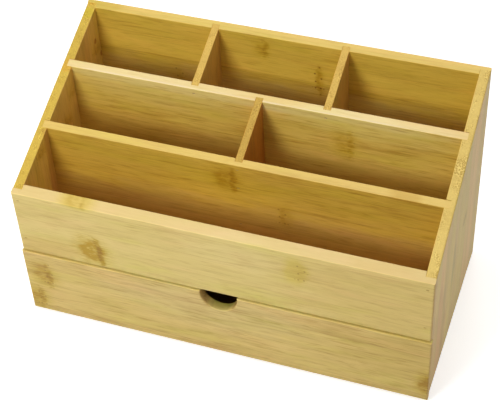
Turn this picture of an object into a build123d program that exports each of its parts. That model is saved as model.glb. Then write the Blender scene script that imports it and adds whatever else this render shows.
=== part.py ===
"""Bamboo vanity organizer: a stepped rack of six open compartments over one full-width drawer.

The carcass is built from glued and bradded bamboo boards. Every board end sits in a half-depth
housing, and the tops of all upright boards lie in one sloped plane, so that the rack rises from the
front lip to the back. The drawer is a lipped box that laps over the front edges of the carcass.

The frame has its origin under the middle of the object, on the surface that it stands on. X runs to
the right, Y to the back and Z up. All sizes are in millimetres.
"""

import os

from build123d import *

os.makedirs("parts", exist_ok=True)

# Overall sizes
WIDTH = 330.0  # over the outer faces of the side panels
DEPTH = 168.0  # from the front panel's face to the back panel's rear face
REAR_HEIGHT = 197.0  # top of the slope, at the back panel's rear face
LIP_HEIGHT = 131.0  # foot of the slope, at the front panel's face
DRAWER_LINE = 70.0  # height of the seam between the front panel and the drawer front

# Board thicknesses
SIDE_BOARD = 8.0
FRONT_BOARD = 9.0
BACK_BOARD = 7.5
FLOOR_BOARD = 6.0
PARTITION_BOARD = 6.4
DIVIDER_BOARD = 6.0
DRAWER_FRONT_BOARD = 8.0
DRAWER_SIDE_BOARD = 6.4
DRAWER_BOTTOM_BOARD = 3.0

# Joinery
SIDE_HOUSING = SIDE_BOARD / 2  # depth of the slots in the side panels
FRONT_HOUSING = FRONT_BOARD / 2  # depth of the rebates in the front panel and the drawer front
BACK_HOUSING = BACK_BOARD / 2  # depth of the slots in the back panel
PARTITION_HOUSING = PARTITION_BOARD / 2  # depth of the slots in the long partitions
DRAWER_GROOVE = 3.0  # depth of the slots and grooves in the drawer's boards
ARRIS = 0.7  # radius of the sanded edges inside the rack and the drawer
OUTER_ARRIS = 1.2  # radius of the sanded edges that a hand meets outside

# Drawer
DRAWER_PROUD = 1.0  # how far the drawer front stands out from the front panel
DRAWER_OVERHANG = 1.0  # how far the drawer front passes each side panel
DRAWER_TOP_GAP = 1.2  # under the front panel
DRAWER_TABLE_GAP = 2.5  # over the surface that the object stands on
DRAWER_SIDE_PLAY = 0.8  # between a drawer side and a side panel
DRAWER_RUN_GAP = 0.2  # between the drawer sides and the base panel
DRAWER_REAR_GAP = 0.3  # between the drawer back and the back panel
DRAWER_BOX_TOP = 65.0  # height of the drawer sides' top edges
DRAWER_BOTTOM_Z = 10.0  # underside of the drawer's bottom panel
NOTCH_WIDTH = 30.0  # finger notch
NOTCH_DEPTH = 17.0

# Brads, of flat wire with a T-shaped head and a chisel point
BRAD_THICKNESS = 1.0
BRAD_SHANK = 1.2  # width
BRAD_HEAD = 2.0  # width
BRAD_HEAD_DEPTH = 0.8
BRAD_SUNK = 0.3  # depth of the head under the board's face
BRAD_POINT = 1.5  # length of the tapered point
BRAD_TIP = 0.3  # width
BRAD_LENGTH = 20.0
BRAD_FIT = 0.02  # room round a brad in its hole

# Planes of the carcass, worked out from the sizes above
FRONT_Y = -(DEPTH + DRAWER_PROUD) / 2 + DRAWER_PROUD
BACK_Y = FRONT_Y + DEPTH
FRONT_INNER_Y = FRONT_Y + FRONT_BOARD
BACK_INNER_Y = BACK_Y - BACK_BOARD
SIDE_FRONT_Y = FRONT_Y + FRONT_HOUSING
SIDE_REAR_Y = BACK_Y - BACK_HOUSING
OUTER_X = WIDTH / 2
INNER_X = OUTER_X - SIDE_BOARD
HOUSED_X = INNER_X + SIDE_HOUSING
FLOOR_TOP = DRAWER_LINE + FLOOR_BOARD
SLOPE = (REAR_HEIGHT - LIP_HEIGHT) / DEPTH

# Three rows of equal clear depth
ROW_CLEAR = (BACK_INNER_Y - FRONT_INNER_Y - 2 * PARTITION_BOARD) / 3
FRONT_PARTITION_Y = FRONT_INNER_Y + ROW_CLEAR
REAR_PARTITION_Y = FRONT_PARTITION_Y + PARTITION_BOARD + ROW_CLEAR

# Three compartments of equal clear width in the rear row
REAR_CLEAR = (2 * INNER_X - 2 * DIVIDER_BOARD) / 3
REAR_DIVIDER_X = (REAR_CLEAR + DIVIDER_BOARD) / 2

# Planes of the drawer
DRAWER_FACE_Y = FRONT_Y - DRAWER_PROUD
DRAWER_LIP_Y = DRAWER_FACE_Y + FRONT_HOUSING
DRAWER_FRONT_REAR_Y = DRAWER_FACE_Y + DRAWER_FRONT_BOARD
DRAWER_END_Y = BACK_INNER_Y - DRAWER_REAR_GAP
DRAWER_TOP = DRAWER_LINE - DRAWER_TOP_GAP
DRAWER_OUTER_X = INNER_X - DRAWER_SIDE_PLAY
DRAWER_INNER_X = DRAWER_OUTER_X - DRAWER_SIDE_BOARD
DRAWER_HOUSED_X = DRAWER_INNER_X + DRAWER_GROOVE
DRAWER_SIDE_Z = FLOOR_BOARD + DRAWER_RUN_GAP

NEAR = 1e-6  # two places closer than this are the same

def slope_height(y):
    """Height of the sloped plane that trims the top of every upright board."""
    return LIP_HEIGHT + SLOPE * (y - FRONT_Y)


def block(x_low, x_high, y_low, y_high, z_low, z_high):
    """A rectangular block between two corners."""
    corner = Pos(x_low, y_low, z_low)
    size = (x_high - x_low, y_high - y_low, z_high - z_low)
    return corner * Box(*size, align=(Align.MIN, Align.MIN, Align.MIN))


def upright(x_low, x_high, y_low, y_high, z_low):
    """A board on edge, whose top is trimmed by the sloped plane."""
    profile = Plane.YZ * Polyline(
        (y_low, z_low),
        (y_high, z_low),
        (y_high, slope_height(y_high)),
        (y_low, slope_height(y_low)),
        close=True,
    )
    return Pos(x_low, 0, 0) * extrude(make_face(profile), amount=x_high - x_low)


def slot(x_low, x_high, y_low, y_high, z_low):
    """The space for a housed board end, open at the top."""
    return block(x_low, x_high, y_low, y_high, z_low, REAR_HEIGHT + FLOOR_BOARD)


def top_edge_at_y(board, y):
    """The top edge, along X, of the board face that lies at y."""
    edges = [e for e in board.edges().filter_by(Axis.X) if abs(e.center().Y - y) < NEAR]
    return max(edges, key=lambda e: e.center().Z)


def top_edge_at_x(board, x):
    """The top edge, level or sloped, of the board face that lies at x."""
    faces = [f for f in board.faces().filter_by(Axis.X) if abs(f.center().X - x) < NEAR]
    edges = [e for e in faces[0].edges() if abs(e.tangent_at(0.5).Y) > 0.5]
    return max(edges, key=lambda e: e.center().Z)


def brad(head, direction, top=BRAD_SUNK, room=0.0):
    """A brad driven along a direction, with its head in line with the grain.

    Head is the point of the board's face that it enters by, and top the depth of the head under
    that face. With room round it and no depth, the brad is the hole that one sits in.
    """
    half_head = BRAD_HEAD / 2 + room
    half_shank = BRAD_SHANK / 2 + room
    half_tip = BRAD_TIP / 2 + room
    neck = BRAD_SUNK + BRAD_HEAD_DEPTH + room
    tip = BRAD_LENGTH + room
    half_outline = [
        (half_head, top),
        (half_head, neck),
        (half_shank, neck),
        (half_shank, tip - BRAD_POINT),
        (half_tip, tip),
    ]
    other_half = [(-x, z) for x, z in reversed(half_outline)]
    profile = Plane.XZ * Polyline(*half_outline, *other_half, close=True)
    body = extrude(make_face(profile), amount=BRAD_THICKNESS / 2 + room, both=True)
    grain = (0, 1, 0) if direction[0] else (1, 0, 0)
    return Plane(origin=head, x_dir=grain, z_dir=direction) * body


def drill(board, places):
    """Cuts the holes of a list of brads, each a head point and a direction."""
    for head, direction in places:
        board -= brad(head, direction, top=0.0, room=BRAD_FIT)
    return board


def brads(places):
    """All the brads of one board, as a group of separate solids."""
    return Compound(children=[brad(head, direction) for head, direction in places])


def brads_at(places, axis, value):
    """The brads of a list whose heads are at a value along an axis, 0 for X to 2 for Z."""
    return [place for place in places if place[0][axis] == value]


# Where the brads go: head point and the direction that each is driven in.
INTO_BACK = (0, 1, 0)
INTO_FRONT = (0, -1, 0)
SIDE_EDGE_X = OUTER_X - 5.0  # in line with the side panels
FRONT_BRAD_Z = (84.0, 124.0)
FRONT_BRADS = [
    ((sign * SIDE_EDGE_X, FRONT_Y, z), INTO_BACK) for sign in (-1, 1) for z in FRONT_BRAD_Z
]

FLOOR_EDGE_Z = DRAWER_LINE + FLOOR_BOARD / 2
BASE_EDGE_Z = FLOOR_BOARD / 2
BACK_SIDE_BRAD_Z = (30.0, 105.0, 178.0)
BACK_DIVIDER_BRAD_Z = (100.0, 170.0)
BACK_EDGE_BRAD_X = 105.0
BACK_BRADS = (
    [((sign * SIDE_EDGE_X, BACK_Y, z), INTO_FRONT) for sign in (-1, 1) for z in BACK_SIDE_BRAD_Z]
    + [
        ((sign * REAR_DIVIDER_X, BACK_Y, z), INTO_FRONT)
        for sign in (-1, 1)
        for z in BACK_DIVIDER_BRAD_Z
    ]
    + [
        ((sign * BACK_EDGE_BRAD_X, BACK_Y, z), INTO_FRONT)
        for sign in (-1, 0, 1)
        for z in (BASE_EDGE_Z, FLOOR_EDGE_Z)
    ]
)

REAR_PARTITION_BRAD_Z = (96.0, 169.2)
MIDDLE_REAR_BRAD_Z = (96.0, 158.0)
REAR_PARTITION_BRADS = [
    ((sign * REAR_DIVIDER_X, REAR_PARTITION_Y, z), INTO_BACK)
    for sign in (-1, 1)
    for z in REAR_PARTITION_BRAD_Z
] + [((0, REAR_PARTITION_Y + PARTITION_BOARD, z), INTO_FRONT) for z in MIDDLE_REAR_BRAD_Z]

FRONT_PARTITION_BRAD_Z = (92.0, 130.0, 148.5)
FRONT_PARTITION_BRADS = [
    ((0, FRONT_PARTITION_Y, z), INTO_BACK) for z in FRONT_PARTITION_BRAD_Z
]

DRAWER_BRAD_Z = (22.0, 50.0)
DRAWER_FRONT_BRAD_Y = (DRAWER_LIP_Y + DRAWER_FRONT_REAR_Y) / 2
DRAWER_BACK_BRAD_Y = DRAWER_END_Y - DRAWER_SIDE_BOARD / 2


def drawer_brads(sign):
    """Brads through a drawer side into the ends of the drawer's front and back."""
    return [
        ((sign * DRAWER_OUTER_X, y, z), (-sign, 0, 0))
        for y in (DRAWER_FRONT_BRAD_Y, DRAWER_BACK_BRAD_Y)
        for z in DRAWER_BRAD_Z
    ]


DRAWER_LEFT_BRADS = drawer_brads(-1)
DRAWER_RIGHT_BRADS = drawer_brads(1)


def side_panel(sign):
    """An end wall of the carcass, with slots for the partitions and the two level boards."""
    low, high = sorted((sign * INNER_X, sign * OUTER_X))
    panel = upright(low, high, SIDE_FRONT_Y, SIDE_REAR_Y, 0)
    panel = fillet(top_edge_at_x(panel, sign * OUTER_X), OUTER_ARRIS)
    panel = fillet(top_edge_at_x(panel, sign * INNER_X), ARRIS)
    in_low, in_high = sorted((sign * INNER_X, sign * HOUSED_X))
    for y in (FRONT_PARTITION_Y, REAR_PARTITION_Y):
        panel -= slot(in_low, in_high, y, y + PARTITION_BOARD, FLOOR_TOP)
    panel -= block(in_low, in_high, SIDE_FRONT_Y, SIDE_REAR_Y, DRAWER_LINE, FLOOR_TOP)
    panel -= block(in_low, in_high, SIDE_FRONT_Y, SIDE_REAR_Y, 0, FLOOR_BOARD)
    return drill(panel, brads_at(FRONT_BRADS + BACK_BRADS, 0, sign * SIDE_EDGE_X))


def front_panel():
    """The low front wall of the rack, rebated at its ends and along its foot."""
    panel = upright(-OUTER_X, OUTER_X, FRONT_Y, FRONT_INNER_Y, DRAWER_LINE)
    face = panel.faces().sort_by(Axis.Y)[0]
    panel = fillet(face.edges(), OUTER_ARRIS)
    panel = fillet(top_edge_at_y(panel, FRONT_INNER_Y), ARRIS)
    for sign in (-1, 1):
        low, high = sorted((sign * INNER_X, sign * OUTER_X))
        panel -= slot(low, high, SIDE_FRONT_Y, FRONT_INNER_Y, DRAWER_LINE)
    panel -= block(-OUTER_X, OUTER_X, SIDE_FRONT_Y, FRONT_INNER_Y, DRAWER_LINE, FLOOR_TOP)
    return drill(panel, FRONT_BRADS)


def back_panel():
    """The tall rear wall, with a rebate at each end and slots for what meets it."""
    panel = upright(-OUTER_X, OUTER_X, BACK_INNER_Y, BACK_Y, 0)
    face = panel.faces().sort_by(Axis.Y)[-1]
    panel = fillet(face.edges(), OUTER_ARRIS)
    panel = fillet(top_edge_at_y(panel, BACK_INNER_Y), ARRIS)
    for sign in (-1, 1):
        low, high = sorted((sign * INNER_X, sign * OUTER_X))
        panel -= slot(low, high, BACK_INNER_Y, SIDE_REAR_Y, 0)
        left = sign * REAR_DIVIDER_X - DIVIDER_BOARD / 2
        panel -= slot(left, left + DIVIDER_BOARD, BACK_INNER_Y, SIDE_REAR_Y, FLOOR_TOP)
    panel -= block(-OUTER_X, OUTER_X, BACK_INNER_Y, SIDE_REAR_Y, DRAWER_LINE, FLOOR_TOP)
    panel -= block(-OUTER_X, OUTER_X, BACK_INNER_Y, SIDE_REAR_Y, 0, FLOOR_BOARD)
    return drill(panel, BACK_BRADS)


def level_board(z_low):
    """A level board housed in both side panels, such as the tray floor or the base."""
    board = block(-HOUSED_X, HOUSED_X, SIDE_FRONT_Y, SIDE_REAR_Y, z_low, z_low + FLOOR_BOARD)
    return drill(board, brads_at(BACK_BRADS, 2, z_low + FLOOR_BOARD / 2))


def partition(y):
    """A long partition between two rows, housed in both side panels."""
    rear_face = y + PARTITION_BOARD
    board = upright(-HOUSED_X, HOUSED_X, y, rear_face, FLOOR_TOP)
    return fillet([top_edge_at_y(board, y), top_edge_at_y(board, rear_face)], ARRIS)


def rear_partition():
    """The partition between the middle and rear rows."""
    board = partition(REAR_PARTITION_Y)
    rear_face = REAR_PARTITION_Y + PARTITION_BOARD
    for sign in (-1, 1):
        left = sign * REAR_DIVIDER_X - DIVIDER_BOARD / 2
        right = left + DIVIDER_BOARD
        board -= slot(left, right, rear_face - PARTITION_HOUSING, rear_face, FLOOR_TOP)
    half = DIVIDER_BOARD / 2
    board -= slot(-half, half, REAR_PARTITION_Y, REAR_PARTITION_Y + PARTITION_HOUSING, FLOOR_TOP)
    return drill(board, REAR_PARTITION_BRADS)


def front_partition():
    """The partition between the front and middle rows."""
    board = partition(FRONT_PARTITION_Y)
    rear_face = FRONT_PARTITION_Y + PARTITION_BOARD
    half = DIVIDER_BOARD / 2
    board -= slot(-half, half, rear_face - PARTITION_HOUSING, rear_face, FLOOR_TOP)
    return drill(board, FRONT_PARTITION_BRADS)


def divider(x, y_low, y_high, places):
    """A short divider across a row, housed at both ends."""
    left = x - DIVIDER_BOARD / 2
    right = x + DIVIDER_BOARD / 2
    board = upright(left, right, y_low, y_high, FLOOR_TOP)
    board = fillet([top_edge_at_x(board, left), top_edge_at_x(board, right)], ARRIS)
    return drill(board, brads_at(places, 0, x))


def rear_divider(x):
    """A divider of the rear row, between the rear partition and the back panel."""
    y_low = REAR_PARTITION_Y + PARTITION_BOARD - PARTITION_HOUSING
    return divider(x, y_low, SIDE_REAR_Y, REAR_PARTITION_BRADS + BACK_BRADS)


def middle_divider():
    """The divider of the middle row, between the two partitions."""
    y_low = FRONT_PARTITION_Y + PARTITION_BOARD - PARTITION_HOUSING
    y_high = REAR_PARTITION_Y + PARTITION_HOUSING
    return divider(0, y_low, y_high, REAR_PARTITION_BRADS + FRONT_PARTITION_BRADS)


def drawer_front():
    """The lipped drawer front, with a half-round finger notch in its top edge."""
    lip_x = OUTER_X + DRAWER_OVERHANG
    board = block(-lip_x, lip_x, DRAWER_FACE_Y, DRAWER_FRONT_REAR_Y, DRAWER_TABLE_GAP, DRAWER_TOP)
    notch_radius = NOTCH_WIDTH / 2
    notch_mid_z = DRAWER_TOP - NOTCH_DEPTH + notch_radius
    mid_y = (DRAWER_FACE_Y + DRAWER_FRONT_REAR_Y) / 2
    cutter = Cylinder(notch_radius, 2 * DRAWER_FRONT_BOARD)
    board -= Pos(0, mid_y, notch_mid_z) * Rot(90, 0, 0) * cutter
    board -= block(
        -notch_radius, notch_radius, DRAWER_FACE_Y, DRAWER_FRONT_REAR_Y, notch_mid_z, DRAWER_TOP
    )
    face = board.faces().sort_by(Axis.Y)[0]
    board = fillet(face.edges(), OUTER_ARRIS)
    for sign in (-1, 1):
        low, high = sorted((sign * DRAWER_INNER_X, sign * lip_x))
        board -= block(low, high, DRAWER_LIP_Y, DRAWER_FRONT_REAR_Y, DRAWER_TABLE_GAP, DRAWER_TOP)
    board -= block(
        -lip_x, lip_x, DRAWER_LIP_Y, DRAWER_FRONT_REAR_Y, DRAWER_TABLE_GAP, DRAWER_SIDE_Z
    )
    board -= drawer_bottom()
    return drill(board, DRAWER_LEFT_BRADS + DRAWER_RIGHT_BRADS)


def drawer_side(sign):
    """A drawer side, grooved for the bottom panel and rebated for the drawer back."""
    low, high = sorted((sign * DRAWER_INNER_X, sign * DRAWER_OUTER_X))
    board = block(low, high, DRAWER_LIP_Y, DRAWER_END_Y, DRAWER_SIDE_Z, DRAWER_BOX_TOP)
    board = fillet([top_edge_at_x(board, low), top_edge_at_x(board, high)], ARRIS)
    low, high = sorted((sign * DRAWER_INNER_X, sign * DRAWER_HOUSED_X))
    groove_top = DRAWER_BOTTOM_Z + DRAWER_BOTTOM_BOARD
    board -= block(low, high, DRAWER_LIP_Y, DRAWER_END_Y, DRAWER_BOTTOM_Z, groove_top)
    back_y = DRAWER_END_Y - DRAWER_SIDE_BOARD
    board -= block(low, high, back_y, DRAWER_END_Y, DRAWER_SIDE_Z, DRAWER_BOX_TOP)
    return drill(board, DRAWER_LEFT_BRADS if sign < 0 else DRAWER_RIGHT_BRADS)


def drawer_back():
    """The drawer back, grooved for the bottom panel."""
    inner_y = DRAWER_END_Y - DRAWER_SIDE_BOARD
    board = block(
        -DRAWER_HOUSED_X, DRAWER_HOUSED_X, inner_y, DRAWER_END_Y, DRAWER_SIDE_Z, DRAWER_BOX_TOP
    )
    board = fillet([top_edge_at_y(board, inner_y), top_edge_at_y(board, DRAWER_END_Y)], ARRIS)
    board -= drawer_bottom()
    return drill(board, DRAWER_LEFT_BRADS + DRAWER_RIGHT_BRADS)


def drawer_bottom():
    """The thin bottom panel of the drawer, held in grooves on all four sides."""
    return block(
        -DRAWER_HOUSED_X,
        DRAWER_HOUSED_X,
        DRAWER_FRONT_REAR_Y - DRAWER_GROOVE,
        DRAWER_END_Y - DRAWER_SIDE_BOARD + DRAWER_GROOVE,
        DRAWER_BOTTOM_Z,
        DRAWER_BOTTOM_Z + DRAWER_BOTTOM_BOARD,
    )


PARTS = {
    "left_side_panel": side_panel(-1),
    "right_side_panel": side_panel(1),
    "front_panel": front_panel(),
    "back_panel": back_panel(),
    "tray_floor": level_board(DRAWER_LINE),
    "base_panel": level_board(0.0),
    "rear_partition": rear_partition(),
    "front_partition": front_partition(),
    "rear_divider_left": rear_divider(-REAR_DIVIDER_X),
    "rear_divider_right": rear_divider(REAR_DIVIDER_X),
    "middle_divider": middle_divider(),
    "front_panel_brads": brads(FRONT_BRADS),
    "back_panel_brads": brads(BACK_BRADS),
    "rear_partition_brads": brads(REAR_PARTITION_BRADS),
    "front_partition_brads": brads(FRONT_PARTITION_BRADS),
    "drawer_front": drawer_front(),
    "drawer_left_side": drawer_side(-1),
    "drawer_right_side": drawer_side(1),
    "drawer_back": drawer_back(),
    "drawer_bottom": drawer_bottom(),
    "drawer_left_brads": brads(DRAWER_LEFT_BRADS),
    "drawer_right_brads": brads(DRAWER_RIGHT_BRADS),
}

for node, shape in PARTS.items():
    export_step(shape, f"parts/{node}.step")
    print(f"{node}: {len(shape.solids())} solid(s), {shape.volume:.0f} mm3")
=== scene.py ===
"""Bamboo vanity organizer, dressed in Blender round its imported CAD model.

The sections follow the organizer as it is put together: side panels, front and back, partitions and
dividers, the two level boards, the brads, the drawer, and last the studio that it stands in.
All lengths are in metres, except where a material counts in millimetres of its board.
"""

import math

import bmesh
import bpy
from mathutils import Matrix, Vector

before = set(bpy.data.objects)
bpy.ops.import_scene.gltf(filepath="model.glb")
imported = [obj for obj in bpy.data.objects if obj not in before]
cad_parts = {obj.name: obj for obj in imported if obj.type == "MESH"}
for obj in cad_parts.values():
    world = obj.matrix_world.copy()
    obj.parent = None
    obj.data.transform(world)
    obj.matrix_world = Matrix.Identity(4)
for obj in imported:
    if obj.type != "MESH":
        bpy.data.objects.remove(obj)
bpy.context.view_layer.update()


# Side panels. The real ones are 8 mm boards of laminated bamboo, standing on end with the grain
# upright, so that their sloped tops show the speckled ends of the fibres. They are slotted for the
# partitions and level boards, glued, sanded flush and lacquered satin.

# What the streaks do to red, green and blue, from the darkest fibres to the palest
STREAKS = (
    (0.00, (0.66, 0.54, 0.36)),
    (0.30, (0.88, 0.84, 0.76)),
    (0.52, (1.00, 1.00, 1.00)),
    (0.76, (1.06, 1.07, 1.12)),
    (1.00, (1.13, 1.16, 1.35)),
)


def paint(red, green, blue):
    """A colour, given as it looks on screen from 0 to 255, in Blender's linear light."""
    def linear(value):
        value = value / 255
        return value / 12.92 if value <= 0.04045 else ((value + 0.055) / 1.055) ** 2.4

    return (linear(red), linear(green), linear(blue))


class Finish:
    """A material whose colour, sheen and relief are worked out by nodes."""

    def __init__(self, name):
        self.material = bpy.data.materials.new(name)
        self.material.use_nodes = True
        self.tree = self.material.node_tree
        self.shader = self.tree.nodes["Principled BSDF"]

    def set(self, socket, value):
        """Links an output to a socket, or writes a plain value or colour on it."""
        if isinstance(value, bpy.types.NodeSocket):
            self.tree.links.new(value, socket)
        elif socket.type == "RGBA":
            socket.default_value = tuple(value) + (1.0,)
        else:
            socket.default_value = value

    def add(self, kind, inputs, **settings):
        """A new node with its settings and its inputs, which are named or numbered."""
        node = self.tree.nodes.new(kind)
        for key, value in settings.items():
            setattr(node, key, value)
        for key, value in inputs.items():
            self.set(node.inputs[key], value)
        return node

    def math(self, operation, *values):
        inputs = dict(enumerate(values))
        return self.add("ShaderNodeMath", inputs, operation=operation).outputs[0]

    def blend(self, factor, first, second, how="MIX"):
        inputs = {0: factor, 6: first, 7: second}
        return self.add("ShaderNodeMix", inputs, data_type="RGBA", blend_type=how).outputs[2]

    def shade(self, factor, colour, tint):
        """A colour that is multiplied by a tint as far as factor says."""
        return self.blend(factor, colour, tint, "MULTIPLY")

    def fade(self, value, start, end):
        """0 at start and 1 at end, or the other way round, with soft shoulders."""
        inputs = {"Value": value, "From Min": start, "From Max": end}
        node = self.add("ShaderNodeMapRange", inputs, interpolation_type="SMOOTHSTEP")
        return node.outputs[0]

    def vector(self, *parts):
        return self.add("ShaderNodeCombineXYZ", dict(enumerate(parts))).outputs[0]

    def move(self, place, *shift):
        """A place shifted along one or more of its axes."""
        inputs = {0: place, 1: self.vector(*shift)}
        return self.add("ShaderNodeVectorMath", inputs, operation="ADD").outputs[0]

    def noise(self, place, lengths, detail=2.0, roughness=0.5):
        """Noise whose patches have a length in millimetres along each axis of a place."""
        inputs = {0: place, 1: lengths}
        scaled = self.add("ShaderNodeVectorMath", inputs, operation="DIVIDE").outputs[0]
        inputs = {"Vector": scaled, "Scale": 1.0, "Detail": detail, "Roughness": roughness}
        return self.add("ShaderNodeTexNoise", inputs).outputs[0]

    def chance(self, number):
        """A random value from 0 to 1 that stays the same for a number."""
        inputs = {"W": number}
        node = self.add("ShaderNodeTexWhiteNoise", inputs, noise_dimensions="1D")
        return node.outputs["Value"]

    def away(self, place, middle, size):
        """How far a place is from the middle of an oval: nought there and 1 on its outline."""
        off = self.move(place, *(-part for part in middle))
        inputs = {0: off, 1: tuple(part / 2 for part in size)}
        scaled = self.add("ShaderNodeVectorMath", inputs, operation="DIVIDE").outputs[0]
        node = self.add("ShaderNodeVectorMath", {0: scaled}, operation="LENGTH")
        return node.outputs["Value"]

    def swing(self, value, amount):
        """Turns a value from 0 to 1 into one round nought."""
        return self.math("MULTIPLY", self.math("SUBTRACT", value, 0.5), amount)

    def greatest(self, values):
        most = values[0]
        for value in values[1:]:
            most = self.math("MAXIMUM", most, value)
        return most

    def sum(self, *values):
        total = values[0]
        for value in values[1:]:
            total = self.math("ADD", total, value)
        return total

    def product(self, *values):
        total = values[0]
        for value in values[1:]:
            total = self.math("MULTIPLY", total, value)
        return total

    def streaked(self, light, colour):
        """The colour of bamboo whose streaks are as light as a value from 0 to 1 says."""
        node = self.add("ShaderNodeValToRGB", {0: light})
        steps = node.color_ramp.elements
        while len(steps) < len(STREAKS):
            steps.new(0.5)
        for step, (position, tint) in zip(steps, STREAKS):
            step.position = position
            step.color = tuple(min(1.0, c * t) for c, t in zip(colour, tint)) + (1.0,)
        return node.outputs[0]


MM_IN_METRE = 1000.0


def board_axes(finish, along, across):
    """A board's place in millimetres and facing, as (along the grain, across it, through it)."""
    through = ({"X", "Y", "Z"} - {along, across}).pop()
    source = finish.add("ShaderNodeTexCoord", {})
    place = finish.add("ShaderNodeSeparateXYZ", {0: source.outputs["Object"]})
    normal = finish.add("ShaderNodeSeparateXYZ", {0: source.outputs["Normal"]})
    order = (along, across, through)
    places = [finish.math("MULTIPLY", place.outputs[axis], MM_IN_METRE) for axis in order]
    facings = [finish.math("ABSOLUTE", normal.outputs[axis]) for axis in order]
    return places, facings


# What a knuckle's parts multiply the colour of the wood by
HALO_SHADE = (0.94, 0.94, 0.60)  # yellowed wood all round
CLOUD_SHADE = (0.68, 0.53, 0.06)  # brown cloud on one side of the ridge
RIDGE_SHADE = (0.72, 0.61, 0.10)
SPECK_SHADE = (0.42, 0.27, 0.10)  # specks along the ridge
DOTS_PER_MM = 0.29  # cells that a speck may fall in


def knuckle(
    finish, off_along, off_across, scatter, height, reach,
    tilt=0.0, brown=0.6, yellow=0.5, specks=0.5,
):
    """The scar where a leaf sheath grew round the stalk, as it shows on one strip.

    A brown cloud starts at a ridge across the strip and reaches along the grain, with feathered
    fibres, a few specks and a yellow halo. Height is the ridge's length, reach the cloud's, below
    nought where it runs the other way, and tilt the ridge's lean. Brown, yellow and specks are
    strengths. Returns the strengths of halo, cloud, ridge and specks at each place.
    """
    spot = finish.vector(off_along, off_across, scatter)
    wander = finish.swing(finish.noise(spot, (50.0, 7.0, 1.0), detail=3.0), 10.0)
    lean = finish.math("MULTIPLY", off_across, tilt)
    off_ridge = finish.math("SUBTRACT", off_along, finish.math("ADD", wander, lean))
    past_ridge = finish.math("SUBTRACT", off_ridge, reach * 0.35)
    in_plane = finish.vector(past_ridge, off_across, 0.0)
    away = finish.away(in_plane, (0.0, 0.0, 0.0), (abs(reach) * 1.6, height, 1.0))

    clumps = finish.fade(finish.noise(spot, (7.5, 5.0, 1.0), detail=3.0), 0.32, 0.62)
    feathers = finish.fade(finish.noise(spot, (9.0, 1.0, 1.0), detail=3.0), 0.45, 0.62)
    mottled = finish.sum(
        finish.math("MULTIPLY", clumps, 0.45), finish.math("MULTIPLY", feathers, 0.35), 0.2
    )
    cloud = finish.product(finish.fade(away, 1.06, 0.35), mottled)
    fringe = finish.product(finish.fade(away, 1.5, 0.8), feathers, 0.28)
    cloud = finish.math("MAXIMUM", cloud, fringe)
    ridge = finish.fade(finish.math("ABSOLUTE", off_ridge), 3.4, 0.4)
    ridge = finish.product(ridge, mottled, finish.fade(away, 1.15, 0.9))

    dots = finish.add(
        "ShaderNodeTexVoronoi",
        {"Vector": finish.vector(off_along, off_across, 0.0), "Scale": DOTS_PER_MM},
        voronoi_dimensions="2D",
    )
    chosen = finish.fade(dots.outputs["Color"], 0.55, 0.60)
    round_dot = finish.fade(dots.outputs["Distance"], 0.32, 0.14)
    near_ridge = finish.fade(finish.math("ABSOLUTE", off_ridge), 6.0, 3.0)
    inside = finish.fade(finish.math("ABSOLUTE", off_across), height / 2, height * 0.42)
    return [
        finish.math("MULTIPLY", finish.fade(away, 1.5, 0.5), yellow),
        finish.math("MULTIPLY", cloud, brown),
        finish.math("MULTIPLY", ridge, brown),
        finish.product(chosen, round_dot, near_ridge, inside, specks),
    ]


# What the other marks multiply the colour of the wood by
GLUE_SHADE = (0.80, 0.70, 0.52)  # glue between two strips
DASH_SHADE = (0.80, 0.71, 0.54)  # short dark fibres
BUNDLE_SHADE = (0.76, 0.66, 0.46)  # fibre bundles in a sawn end
PITH_SHADE = (1.14, 1.20, 1.34)  # pale ground between the bundles
PINKISH = (1.05, 0.98, 1.10)  # strips of the pinkest hue
GREENISH = (0.96, 1.02, 0.80)  # strips of the greenest hue
SANDED = (1.12, 1.12, 1.12)  # sanded arrises

SEED_SHIFT = 17.3  # millimetres that a seed moves the pattern by
STRIP_SHIFT = 31.7  # millimetres that the pattern moves by from strip to strip
GLUE_LINE = (0.40, 0.05)  # millimetres from a strip's edge where the glue starts and is full
TURNED = (0.55, 0.80)  # how squarely a surface faces an axis to be partly, and fully, on that side
MID_LIGHT = 0.54  # where the streaks lie on average, between darkest and palest
BUNDLES_PER_MM = 0.75
LACQUER_ROUGHNESS = 0.42
LACQUER_IOR = 1.46
RELIEF_DEPTH = 0.00005  # in metres


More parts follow.
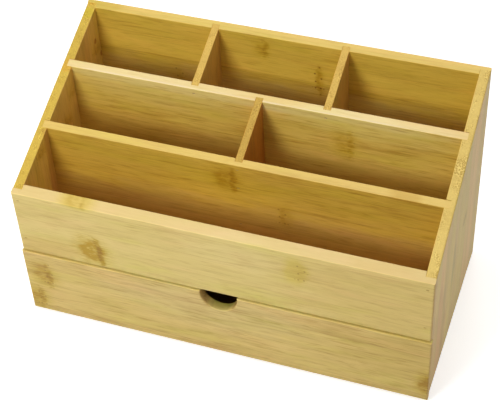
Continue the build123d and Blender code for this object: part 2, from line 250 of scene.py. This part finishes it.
def bamboo(
    name, along, across, face, edge, ends, seed,
    strip=19.0, figure=1.0, hues=0.3, knuckles=(), every=None, stains_and_painted_light=(), crowds=(), outside=None,
):
    """Laminated bamboo for one board, with the colours of its faces, long edges and sawn ends.

    Along and across are the axes of its grain and its width. Strip is the width of the glued
    strips, figure the strength of the long streaks, and hues how much the strips differ in hue.
    Knuckles are the ones at measured places, each with its place along and across the board.
    Every is the stalk's length between the ones that fall by chance. Stains and painted light are
    soft ovals of another tone, each with its middle, size and tint: marks in the wood, or painted
    shade and painted bounced light that the lamps don't give. Crowds are ovals of an end where dark
    bundles stand close, each with its middle and size. Middles and sizes are along, across and
    through the board, in millimetres. Outside is the colour of the outer face, after the depths in
    the board where it starts and is full.
    """
    finish = Finish(name)
    places, facings = board_axes(finish, along, across)
    place = finish.vector(*places)
    wide_bend = finish.swing(finish.noise(place, (110.0, 40.0, 40.0)), 5.0)
    small_bend = finish.swing(finish.noise(place, (26.0, 7.0, 7.0)), 1.8)
    bend = finish.math("ADD", wide_bend, small_bend)
    shift = seed * SEED_SHIFT
    flow = finish.move(place, shift, finish.math("ADD", bend, shift), shift)

    # Strips, each of its own tone and hue, with a thin glue line between them. Every chance value
    # takes its own multiple of the seed, so that no two of them go together.
    slight_bend = finish.math("ADD", finish.math("MULTIPLY", wide_bend, 0.2), seed * 3.7)
    in_strips = finish.math("DIVIDE", finish.math("ADD", places[1], slight_bend), strip)
    number = finish.math("FLOOR", in_strips)
    within = finish.swing(finish.math("FRACT", in_strips), 1.0)
    tone = finish.chance(finish.math("ADD", number, seed * 5.1))
    hue = finish.chance(finish.math("ADD", number, seed * 9.7 + 0.5))
    to_glue = finish.product(finish.math("SUBTRACT", 0.5, finish.math("ABSOLUTE", within)), strip)
    glue = finish.fade(to_glue, *GLUE_LINE)

    # Fibres, from broad streaks down to hairs, and the part that each plays in how light it is
    lane = finish.move(flow, 0.0, finish.math("MULTIPLY", number, STRIP_SHIFT), 0.0)
    broad = finish.noise(lane, (130.0, 9.0, 9.0), detail=3.0)
    wave = finish.noise(lane, (48.0, 3.2, 3.2), detail=4.0, roughness=0.6)
    fibre = finish.noise(lane, (34.0, 1.2, 1.2), detail=3.0, roughness=0.6)
    hair = finish.noise(lane, (13.0, 0.45, 0.45))
    dash = finish.fade(finish.noise(lane, (14.0, 0.8, 0.8)), 0.58, 0.72)
    tick = finish.fade(finish.noise(lane, (21.0, 1.7, 1.7)), 0.55, 0.68)
    warmth = finish.noise(flow, (55.0, 12.0, 12.0))
    cloudy = finish.noise(flow, (34.0, 9.0, 9.0))
    fine_figure = min(figure, 1.0)
    light = finish.sum(
        finish.swing(tone, 0.22),
        finish.swing(broad, 0.55 * figure),
        finish.swing(wave, 0.50 * figure),
        finish.swing(cloudy, 0.45 * figure),
        finish.swing(fibre, 0.85 * fine_figure),
        finish.swing(hair, 0.35 * fine_figure),
        MID_LIGHT,
    )

    # Colour of the faces, and of the long edges, which are calmer
    is_edge = finish.fade(facings[1], *TURNED)
    is_end = finish.fade(facings[0], *TURNED)
    calm_light = finish.math("ADD", finish.math("MULTIPLY", light, 0.5), 0.27)
    wood = finish.streaked(light, face)
    if outside:
        start, full, outer = outside
        outwards = finish.fade(places[2], start, full)
        wood = finish.blend(outwards, wood, finish.streaked(light, outer))
    wood = finish.blend(is_edge, wood, finish.streaked(calm_light, edge))
    lean_pink = finish.math("ADD", finish.swing(hue, 2.0 * hues), finish.swing(warmth, 2.6))
    wood = finish.shade(finish.fade(lean_pink, 0.0, 1.0), wood, PINKISH)
    wood = finish.shade(finish.fade(lean_pink, 0.0, -1.0), wood, GREENISH)
    on_face = finish.math("MULTIPLY_ADD", is_edge, -0.7, 1.0)
    wood = finish.shade(finish.product(dash, on_face, 0.60), wood, DASH_SHADE)
    wood = finish.shade(finish.product(tick, on_face, 0.42 * figure), wood, DASH_SHADE)
    wood = finish.shade(finish.product(glue, on_face, 0.55), wood, GLUE_SHADE)

    # Knuckles: the measured ones, and those that come round on every strip
    marks = []
    for count, spot in enumerate(knuckles):
        sizes = {key: value for key, value in spot.items() if key not in ("along", "across")}
        off_along = finish.math("SUBTRACT", places[0], spot["along"])
        off_across = finish.math("SUBTRACT", places[1], spot["across"])
        marks.append(knuckle(finish, off_along, off_across, seed + count * 7.7, **sizes))
    if every:
        first = finish.chance(finish.math("ADD", number, seed * 3.3))
        turns = finish.math("ADD", first, finish.math("DIVIDE", places[0], every))
        off_along = finish.swing(finish.math("FRACT", turns), every)
        off_across = finish.math("MULTIPLY", within, strip)
        bold = finish.fade(finish.chance(finish.math("ADD", number, seed * 6.1)), 0.1, 0.9)
        scatter = finish.math("MULTIPLY", number, 4.7)
        scar = knuckle(finish, off_along, off_across, scatter, strip + 1.0, 8.0)
        marks.append([finish.math("MULTIPLY", mark, bold) for mark in scar])
    if marks:
        for kind, tint in enumerate((HALO_SHADE, CLOUD_SHADE, RIDGE_SHADE, SPECK_SHADE)):
            wood = finish.shade(finish.greatest([mark[kind] for mark in marks]), wood, tint)

    # The ends of the fibres: brown bundles in a pale ground, here and there crowded
    flow_parts = finish.add("ShaderNodeSeparateXYZ", {0: flow})
    across_end = finish.vector(flow_parts.outputs[1], flow_parts.outputs[2], 0.0)
    bundle_inputs = {"Vector": across_end, "Scale": BUNDLES_PER_MM, "Randomness": 0.9}
    bundles = finish.add("ShaderNodeTexVoronoi", bundle_inputs, voronoi_dimensions="2D")
    crowd = finish.fade(finish.noise(across_end, (9.0, 5.0, 1.0)), 0.50, 0.66)
    crowd = finish.sum(finish.math("MULTIPLY", crowd, 0.85), 0.15)
    for middle, size in crowds:
        close = finish.fade(finish.away(place, middle, size), 1.2, 0.6)
        crowd = finish.math("MAXIMUM", crowd, finish.math("MULTIPLY", close, 2.2))
    bundle = finish.product(finish.fade(bundles.outputs["Distance"], 0.40, 0.20), crowd)
    pith = finish.product(finish.fade(bundles.outputs["Distance"], 0.52, 0.72), crowd)
    sawn = finish.shade(bundle, finish.streaked(light, ends), BUNDLE_SHADE)
    sawn = finish.shade(pith, sawn, PITH_SHADE)
    colour = finish.blend(is_end, wood, sawn)

    # Stains, painted shade and painted light, whose outlines are ragged along the grain
    for middle, size, tint in stains_and_painted_light:
        away = finish.away(place, middle, size)
        ragged = finish.math("ADD", away, finish.swing(cloudy, 1.2))
        colour = finish.shade(finish.fade(ragged, 1.25, 0.55), colour, tint)

    # Sanding leaves the arrises paler
    flatness = finish.greatest(facings)
    arris = finish.fade(flatness, 0.90, 0.80)
    finish.set(finish.shader.inputs["Base Color"], finish.shade(arris, colour, SANDED))

    # Satin lacquer, duller on the thirsty ends
    gloss = finish.sum(
        finish.math("MULTIPLY", fibre, 0.14),
        finish.math("MULTIPLY", is_end, 0.12),
        LACQUER_ROUGHNESS,
    )
    finish.set(finish.shader.inputs["Roughness"], gloss)
    finish.shader.inputs["IOR"].default_value = LACQUER_IOR

    # Relief: fibres and glue lines on the faces, open pores on the ends
    ridges = finish.math("ADD", fibre, finish.math("MULTIPLY", hair, 0.5))
    grooves = finish.math("ADD", dash, finish.math("MULTIPLY", glue, 0.8))
    face_height = finish.math("SUBTRACT", ridges, grooves)
    height = finish.add(
        "ShaderNodeMix", {0: is_end, 2: face_height, 3: finish.math("MULTIPLY", bundle, -1.6)}
    ).outputs[0]
    relief_inputs = {"Height": height, "Strength": 1.0, "Distance": RELIEF_DEPTH}
    relief = finish.add("ShaderNodeBump", relief_inputs)
    finish.set(finish.shader.inputs["Normal"], relief.outputs[0])
    return finish.material


def dress(material, *nodes):
    """Gives CAD boards their finish."""
    for node in nodes:
        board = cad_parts[node]
        board.data.materials.clear()
        board.data.materials.append(material)


SIDE_FACE = paint(216, 179, 86)
SIDE_EDGE = paint(218, 188, 110)
LEFT_ENDS = paint(216, 181, 68)
RIGHT_ENDS = paint(230, 198, 106)

left_panel_bamboo = bamboo(
    "left_side_bamboo", "Z", "Y", paint(238, 197, 98), SIDE_EDGE, LEFT_ENDS, seed=1.0,
    strip=16.0, hues=0.4, every=260.0,
    stains_and_painted_light=[
        # Shade in the far corner of the front row
        ((108.0, -30.0, -157.0), (84.0, 14.0, 9.0), (0.82, 0.68, 0.70)),
        # Two bruises on the inner face, in the rear row
        ((166.0, 69.0, -157.0), (5.0, 4.0, 4.0), (0.62, 0.42, 0.28)),
        ((149.0, 76.0, -157.0), (6.0, 4.0, 4.0), (0.62, 0.42, 0.28)),
        # Browner and greener patches of the sloped edge, towards its rear end
        ((173.0, 25.0, -161.0), (9.0, 14.0, 9.0), (1.04, 0.90, 0.70)),
        ((197.0, 82.0, -161.0), (8.0, 9.0, 9.0), (1.02, 0.84, 0.55)),
        ((192.0, 72.0, -161.0), (8.0, 12.0, 9.0), (0.93, 1.00, 0.55)),
    ],
    outside=(-160.0, -161.0, SIDE_FACE),
)
right_panel_bamboo = bamboo(
    "right_side_bamboo", "Z", "Y", SIDE_FACE, SIDE_EDGE, RIGHT_ENDS, seed=4.0,
    strip=15.0, figure=0.5, hues=1.0, every=310.0,
    stains_and_painted_light=[
        # A browner front half of the outer face, and a dark streak behind it
        ((35.0, -62.0, 165.0), (130.0, 64.0, 9.0), (0.87, 0.78, 0.62)),
        ((78.0, -11.0, 165.0), (46.0, 13.0, 9.0), (0.80, 0.83, 0.70)),
    ],
    crowds=[((166.0, 3.0, 161.0), (20.0, 15.0, 12.0))],
)
dress(left_panel_bamboo, "left_side_panel")
dress(right_panel_bamboo, "right_side_panel")


# Front panel. The low lip of the rack is a 9 mm board with its grain along its length, rebated over
# the ends of the side panels and bradded to them. Its top edge follows the slope and is paler,
# because it is sanded last.

LONG_ENDS = paint(205, 168, 92)

front_bamboo = bamboo(
    "front_panel_bamboo", "X", "Z", paint(215, 191, 114), paint(230, 201, 130), LONG_ENDS,
    seed=9.0, strip=20.0, figure=0.8,
    knuckles=[
        dict(along=-96.5, across=86.0, height=31.0, reach=-18.0, tilt=-0.12, brown=2.0, specks=0.0),
        dict(along=66.5, across=113.0, height=24.0, reach=-11.0, brown=0.2, yellow=1.3, specks=0.5),
        dict(
            along=-105.0, across=133.0, height=9.0, reach=-17.0, brown=0.55, yellow=1.1,
            specks=0.1,
        ),
    ],
    stains_and_painted_light=[
        # Paler in the middle; duller to the right, a painted shade where the light falls off; and
        # browner low on the left
        ((15.0, 116.0, -80.0), (90.0, 34.0, 30.0), (1.06, 1.08, 1.20)),
        ((125.0, 95.0, -80.0), (150.0, 90.0, 30.0), (0.97, 0.93, 0.86)),
        ((-142.0, 78.0, -80.0), (70.0, 24.0, 30.0), (0.93, 0.87, 0.76)),
    ],
)
dress(front_bamboo, "front_panel")


# Back panel. A 7.5 mm board stands full width behind the rack, slotted for the side panels, the
# dividers and the two level boards, and bradded to them from behind.

back_bamboo = bamboo(
    "back_panel_bamboo", "X", "Z", paint(218, 181, 66), paint(233, 201, 103), LONG_ENDS,
    seed=14.0, figure=1.2,
    knuckles=[
        dict(along=-12.0, across=182.0, height=18.0, reach=-9.0, brown=0.8, specks=0.2),
        dict(along=31.0, across=160.0, height=30.0, reach=5.0, brown=0.7, yellow=0.2, specks=0.9),
        dict(along=-88.0, across=140.0, height=19.0, reach=-10.0, brown=0.2),
        dict(along=104.0, across=64.0, height=20.0, reach=12.0, brown=0.9),
        dict(along=-60.0, across=40.0, height=19.0, reach=-11.0, brown=0.7),
        dict(along=20.0, across=98.0, height=19.0, reach=9.0, brown=0.5),
    ],
    stains_and_painted_light=[
        # A brown patch at the left end of the top edge
        ((-150.0, 197.0, 81.0), (46.0, 14.0, 20.0), (0.86, 0.86, 0.58)),
        # The inner face, paler at mid height
        ((0.0, 158.0, 77.0), (900.0, 50.0, 7.0), (1.05, 1.08, 1.14)),
        # Painted bounced light: less yellow in its depths, where the lamps' white light doesn't
        # reach
        ((0.0, 120.0, 77.0), (700.0, 60.0, 7.0), (1.04, 1.08, 2.20)),
    ],
    outside=(80.0, 81.0, paint(220, 192, 110)),
)
dress(back_bamboo, "back_panel")


# Partitions. Two thin boards part the three rows. Their ends sit in slots in the side panels, and
# their faces are slotted half through for the short dividers.

front_partition_bamboo = bamboo(
    "front_partition_bamboo", "X", "Z", paint(212, 172, 64), paint(231, 196, 103), LONG_ENDS,
    seed=20.0, strip=24.0, figure=1.3,
    knuckles=[
        dict(along=-4.0, across=137.0, height=27.0, reach=-17.0, brown=1.0, specks=0.3),
        dict(along=34.0, across=110.0, height=19.0, reach=9.0, brown=0.35),
    ],
    stains_and_painted_light=[
        # A brown patch of the top edge
        ((128.0, 154.0, -25.0), (26.0, 8.0, 20.0), (0.88, 0.82, 0.66)),
        # Paler in the middle and to the right, and duller on the left
        ((90.0, 122.0, -25.0), (150.0, 60.0, 20.0), (1.07, 1.09, 1.22)),
        ((-15.0, 120.0, -25.0), (100.0, 70.0, 20.0), (1.07, 1.08, 0.97)),
        ((-110.0, 107.0, -25.0), (120.0, 36.0, 20.0), (0.94, 0.93, 0.82)),
        # Painted bounced light: less yellow in its depths, where the lamps' white light doesn't
        # reach
        ((0.0, 85.0, -28.0), (700.0, 60.0, 20.0), (0.98, 0.96, 1.55)),
    ],
)
rear_partition_bamboo = bamboo(
    "rear_partition_bamboo", "X", "Z", paint(220, 187, 84), paint(238, 207, 130), LONG_ENDS,
    seed=27.0, strip=26.0, figure=1.5,
    knuckles=[dict(along=73.0, across=147.0, height=30.0, reach=-15.0, brown=0.7, specks=0.25)],
    stains_and_painted_light=[
        # A pale strip along the top, palest on the top edge
        ((-90.0, 168.0, 27.0), (190.0, 34.0, 90.0), (1.06, 1.12, 1.42)),
        ((-40.0, 170.5, 24.0), (400.0, 9.0, 6.0), (1.03, 1.07, 1.45)),
        ((80.0, 168.0, 27.0), (150.0, 26.0, 90.0), (1.06, 1.14, 1.42)),
        # Paler to the right and duller on the left
        ((95.0, 142.0, 27.0), (170.0, 44.0, 90.0), (1.12, 1.14, 1.28)),
        ((-115.0, 126.0, 27.0), (120.0, 38.0, 90.0), (0.95, 0.89, 0.80)),
    ],
)
dress(front_partition_bamboo, "front_partition")
dress(rear_partition_bamboo, "rear_partition")


# Dividers. Three short 6 mm boards part the rear row in three and the middle row in two. Their
# grain is upright, and their ends sit in the slots of the boards that they run between.

DIVIDER_FACE = paint(217, 171, 80)
DIVIDER_ENDS = paint(223, 183, 86)

rear_divider_bamboo = bamboo(
    "rear_divider_bamboo", "Z", "Y", DIVIDER_FACE, SIDE_EDGE, DIVIDER_ENDS, seed=33.0,
    every=330.0,
)
middle_divider_bamboo = bamboo(
    "middle_divider_bamboo", "Z", "Y", paint(197, 129, 45), SIDE_EDGE, paint(205, 165, 68),
    seed=38.0,
)
dress(rear_divider_bamboo, "rear_divider_left", "rear_divider_right")
dress(middle_divider_bamboo, "middle_divider")


# Level boards. The tray floor carries the six compartments and roofs the drawer, and the base panel
# is what the drawer slides on. Both are 6 mm boards, housed in the side panels.

tray_bamboo = bamboo(
    "tray_floor_bamboo", "X", "Y", paint(184, 140, 76), SIDE_EDGE, LONG_ENDS, seed=44.0,
    every=240.0,
)
base_bamboo = bamboo(
    "base_panel_bamboo", "X", "Y", paint(206, 176, 108), SIDE_EDGE, LONG_ENDS, seed=50.0,
    every=240.0,
)
dress(tray_bamboo, "tray_floor")
dress(base_bamboo, "base_panel")


# Brads. Flat wire brads with T-shaped heads, driven a little under the surface. They are dull
# steel, browned by the glue and lacquer that settle on them.

BRAD_SPOT = 0.0006  # in metres, as the brads' own places are

brad_steel = Finish("brad_steel")
brad_place = brad_steel.add("ShaderNodeTexCoord", {}).outputs["Object"]
brad_spots = brad_steel.noise(brad_place, (BRAD_SPOT,) * 3, detail=3.0)
brad_steel.set(
    brad_steel.shader.inputs["Base Color"],
    brad_steel.blend(brad_spots, paint(162, 132, 62), paint(194, 164, 92)),
)
brad_steel.shader.inputs["Metallic"].default_value = 0.2
brad_steel.set(
    brad_steel.shader.inputs["Roughness"], brad_steel.sum(brad_steel.swing(brad_spots, 0.6), 0.55)
)
dress(
    brad_steel.material,
    "front_panel_brads",
    "back_panel_brads",
    "rear_partition_brads",
    "front_partition_brads",
    "drawer_left_brads",
    "drawer_right_brads",
)


# Drawer. Its front is an 8 mm board that laps over the edges of the carcass, with a half-round
# notch for a finger. The sides, back and bottom are thinner boards, grooved and bradded together.

drawer_front_bamboo = bamboo(
    "drawer_front_bamboo", "X", "Z", paint(209, 181, 103), paint(216, 192, 104), LONG_ENDS,
    seed=57.0, strip=22.0, figure=1.7,
    knuckles=[
        dict(along=-146.0, across=45.0, height=30.0, reach=-16.0, brown=1.0, yellow=0.8),
        dict(along=-156.0, across=17.0, height=28.0, reach=-14.0, brown=1.0, yellow=1.1),
        dict(along=168.0, across=22.0, height=28.0, reach=-11.0, brown=1.6, yellow=1.0),
    ],
    stains_and_painted_light=[
        # Painted highlight: the arris at the seam under the front panel, paler and less orange
        ((0.0, 68.8, -80.0), (4000.0, 4.0, 7.0), (1.00, 1.12, 1.32)),
        # Shade in the finger notch
        ((0.0, 66.8, -77.0), (34.0, 34.0, 13.0), (0.52, 0.55, 0.34)),
        # Paler in the middle; and duller to the right, a painted shade where the light falls off
        ((-15.0, 50.0, -80.0), (170.0, 46.0, 30.0), (1.02, 1.06, 1.26)),
        ((140.0, 45.0, -80.0), (120.0, 60.0, 30.0), (0.92, 0.90, 0.78)),
    ],
)
dress(drawer_front_bamboo, "drawer_front")

DRAWER_FACE = paint(210, 180, 104)

drawer_side_bamboo = bamboo(
    "drawer_side_bamboo", "Y", "Z", DRAWER_FACE, SIDE_EDGE, LONG_ENDS, seed=63.0, every=230.0
)
drawer_back_bamboo = bamboo(
    "drawer_back_bamboo", "X", "Z", DRAWER_FACE, SIDE_EDGE, LONG_ENDS, seed=70.0, every=230.0
)
drawer_bottom_bamboo = bamboo(
    "drawer_bottom_bamboo", "X", "Y", paint(204, 174, 104), SIDE_EDGE, LONG_ENDS, seed=76.0,
    every=230.0,
)
dress(drawer_side_bamboo, "drawer_left_side", "drawer_right_side")
dress(drawer_back_bamboo, "drawer_back")
dress(drawer_bottom_bamboo, "drawer_bottom")


# Studio. The organizer stands on a plain white floor in a white room, under a wide overhead lamp,
# with smaller ones in front and behind, and is seen from above and to its right.

FLOOR_RADIUS = 3.0
FLOOR_SIDES = 96
FLOOR_WHITE = 0.86
FLOOR_ROUGHNESS = 0.9
FLOOR_GLOW = 0.56  # what the camera sees of it near the middle, besides the light on it
GLOW_REACH = (0.5, 1.4)  # from the middle, where it starts to fade into the white behind it
ROOM_LIGHT = 0.18
WHITE = (1.0, 1.0, 1.0, 1.0)

# Each lamp: its name, turn from the front towards the right and rise in degrees, distance and
# size in metres, and power in watts
LAMPS = (
    ("front_lamp", -22.0, 35.5, 1.2, 0.42, 6.1),
    ("overhead_lamp", 0.0, 90.0, 1.6, 1.6, 11.5),
    ("rear_lamp", 180.0, 25.0, 1.6, 0.8, 7.0),
)

# The camera stands in front, to the right and well above, and looks down into the rows
CAMERA_PLACE = Vector((0.27532, -0.70646, 0.81466))
CAMERA_FORWARD = Vector((-0.26472, 0.67373, -0.68994))
CAMERA_RIGHT = Vector((0.94417, 0.32659, -0.04335))
CAMERA_LENS = 95.24
SENSOR_WIDTH = 36.0


def seen_directly(tree):
    """1 for rays from the camera, and for those that a shiny or clear surface sends on."""
    path = tree.nodes.new("ShaderNodeLightPath")
    direct = path.outputs["Is Camera Ray"]
    for ray in ("Is Glossy Ray", "Is Transmission Ray"):
        either = tree.nodes.new("ShaderNodeMath")
        either.operation = "MAXIMUM"
        tree.links.new(direct, either.inputs[0])
        tree.links.new(path.outputs[ray], either.inputs[1])
        direct = either.outputs[0]
    return direct


disc = bmesh.new()
bmesh.ops.create_circle(disc, cap_ends=True, segments=FLOOR_SIDES, radius=FLOOR_RADIUS)
floor_mesh = bpy.data.meshes.new("floor")
disc.to_mesh(floor_mesh)
disc.free()
floor = bpy.data.objects.new("floor", floor_mesh)
bpy.context.scene.collection.objects.link(floor)
floor_finish = Finish("floor_white")
floor_finish.shader.inputs["Base Color"].default_value = (FLOOR_WHITE,) * 3 + (1.0,)
floor_finish.shader.inputs["Roughness"].default_value = FLOOR_ROUGHNESS
floor_finish.shader.inputs["Specular IOR Level"].default_value = 0.0
floor_finish.shader.inputs["Emission Color"].default_value = WHITE
floor_place = floor_finish.add("ShaderNodeTexCoord", {}).outputs["Object"]
floor_reach = floor_finish.away(floor_place, (0.0, 0.0, 0.0), (2.0, 2.0, 2.0))
floor_glow = floor_finish.fade(floor_reach, *GLOW_REACH)
floor_glow = floor_finish.sum(floor_finish.math("MULTIPLY", floor_glow, 1 - FLOOR_GLOW), FLOOR_GLOW)
floor_finish.set(
    floor_finish.shader.inputs["Emission Strength"],
    floor_finish.math("MULTIPLY", seen_directly(floor_finish.tree), floor_glow),
)
floor.data.materials.append(floor_finish.material)

room = bpy.data.worlds.new("white_room")
room.use_nodes = True
room_tree = room.node_tree
room_light = room_tree.nodes["Background"]
room_light.inputs["Color"].default_value = WHITE
brightness = room_tree.nodes.new("ShaderNodeMapRange")
brightness.inputs["To Min"].default_value = ROOM_LIGHT
brightness.inputs["To Max"].default_value = 1.0
room_tree.links.new(seen_directly(room_tree), brightness.inputs["Value"])
room_tree.links.new(brightness.outputs[0], room_light.inputs["Strength"])
bpy.context.scene.world = room

for lamp_name, lamp_turn, rise, distance, size, power in LAMPS:
    lamp_data = bpy.data.lights.new(lamp_name, "AREA")
    lamp_data.shape = "DISK"
    lamp_data.size = size
    lamp_data.energy = power
    level = math.cos(math.radians(rise))
    way = Vector(
        (
            math.sin(math.radians(lamp_turn)) * level,
            -math.cos(math.radians(lamp_turn)) * level,
            math.sin(math.radians(rise)),
        )
    )
    lamp = bpy.data.objects.new(lamp_name, lamp_data)
    lamp.location = way * distance
    lamp.rotation_euler = way.to_track_quat("Z", "Y").to_euler()
    bpy.context.scene.collection.objects.link(lamp)

camera_data = bpy.data.cameras.new("camera")
camera_data.sensor_fit = "HORIZONTAL"
camera_data.sensor_width = SENSOR_WIDTH
camera_data.lens = CAMERA_LENS
camera = bpy.data.objects.new("camera", camera_data)
camera_up = CAMERA_RIGHT.cross(CAMERA_FORWARD)
turn = Matrix((CAMERA_RIGHT, camera_up, -CAMERA_FORWARD)).transposed()
camera.matrix_world = Matrix.Translation(CAMERA_PLACE) @ turn.to_4x4()
bpy.context.scene.collection.objects.link(camera)
bpy.context.scene.camera = camera
bpy.context.scene.view_settings.view_transform = "Standard"
